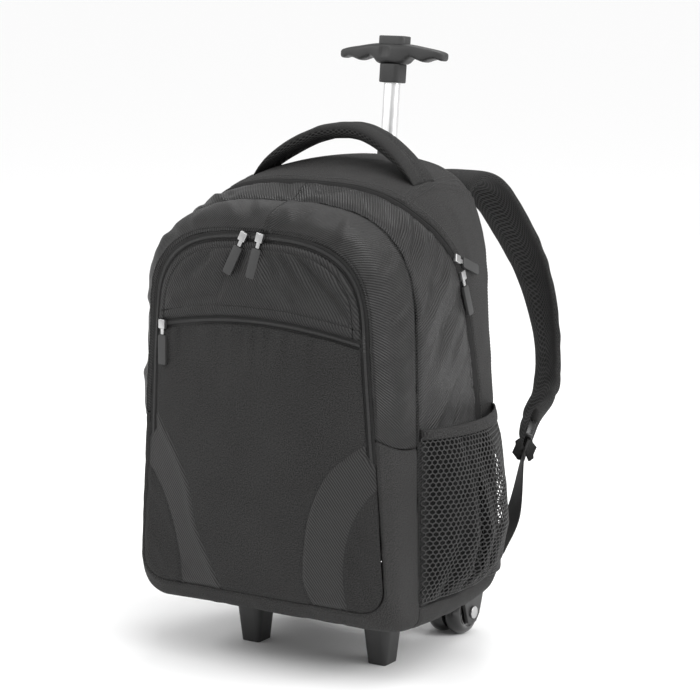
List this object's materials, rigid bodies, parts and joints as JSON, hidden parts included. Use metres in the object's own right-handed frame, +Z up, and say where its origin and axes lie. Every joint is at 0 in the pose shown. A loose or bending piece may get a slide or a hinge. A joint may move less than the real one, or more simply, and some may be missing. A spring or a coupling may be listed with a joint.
{
  "type": "wheeled backpack",
  "caption": "Soft zipped backpack on front feet and rear wheels, with net side pockets, padded shoulder straps, a grab handle and a telescopic pull handle.",
  "frame": {"origin": "centre of the part's box, on the floor that the feet and wheels stand on", "axes": "+Z up, -Y towards the front pocket, +X to the right seen from the front"},
  "size_m": [0.3884, 0.4432, 0.6117],
  "materials": {
    "plain_cloth": "fine plain weave, near black",
    "twill_cloth": "shiny twill, dark grey",
    "air_mesh": "padded air mesh, black",
    "net_cloth": "coarse knitted net, black",
    "tape_cloth": "woven tape and zip coil, black",
    "black_plastic": "moulded, fine grain, black",
    "grey_rubber": "moulded, satin, dark grey",
    "tyre_rubber": "smooth wheel tread, black",
    "aluminium": "satin anodised tube",
    "nickel": "plated zip sliders and axle heads"
  },
  "bodies": {
    "bag": {"front_gusset": "twill_cloth", "front_base": "plain_cloth", "front_zip": "tape_cloth", "front_panel_upper": "twill_cloth", "front_panel_lower": "plain_cloth", "slip_zip": "tape_cloth", "back_panel": "air_mesh", "rear_base": "plain_cloth", "middle_gusset": "twill_cloth", "rear_gusset": "plain_cloth", "main_zip": "tape_cloth", "side_net_right": "net_cloth", "side_net_left": "net_cloth", "net_binding_right": "tape_cloth", "net_binding_left": "tape_cloth", "grab_handle": "twill_cloth", "shoulder_strap_right": "air_mesh", "shoulder_strap_left": "air_mesh", "strap_tab_right": "tape_cloth", "strap_tab_left": "tape_cloth", "strap_buckle_right": "black_plastic", "strap_buckle_left": "black_plastic", "strap_webbing_right": "tape_cloth", "strap_webbing_left": "tape_cloth", "front_zip_a_slider": "nickel", "front_zip_a_pull": "grey_rubber", "front_zip_b_slider": "nickel", "front_zip_b_pull": "grey_rubber", "slip_zip_slider": "nickel", "slip_zip_pull": "grey_rubber", "main_zip_a_slider": "nickel", "main_zip_a_pull": "grey_rubber", "main_zip_b_slider": "nickel", "main_zip_b_pull": "grey_rubber", "foot_right": "black_plastic", "foot_left": "black_plastic", "wheel_bracket_right": "black_plastic", "axle_right": "nickel", "wheel_bracket_left": "black_plastic", "axle_left": "nickel", "pole_sleeve": "black_plastic"},
    "right_wheel": {"wheel_right": "tyre_rubber"},
    "left_wheel": {"wheel_left": "tyre_rubber"},
    "pole": {"pole_tube": "aluminium", "grip_collar": "black_plastic", "grip": "black_plastic"},
    "button": {"grip_button": "grey_rubber"}
  },
  "joints": [
    {"name": "right_wheel_spin", "type": "hinge", "parent": "bag", "child": "right_wheel", "pos_m": [0.082, 0.02514, 0.024], "axis": [1, 0, 0], "continuous": true},
    {"name": "left_wheel_spin", "type": "hinge", "parent": "bag", "child": "left_wheel", "pos_m": [-0.082, 0.02514, 0.024], "axis": [1, 0, 0], "continuous": true},
    {"name": "pole_slide", "type": "slide", "parent": "bag", "child": "pole", "axis": [0, 0.1123, 0.9937], "range_m": [-0.066, 0.26]},
    {"name": "button_press", "type": "slide", "parent": "pole", "child": "button", "axis": [0, 0.1123, 0.9937], "range_m": [-0.004, 0], "stiffness_N_per_m": 500, "springref_m": 0.002}
  ]
}
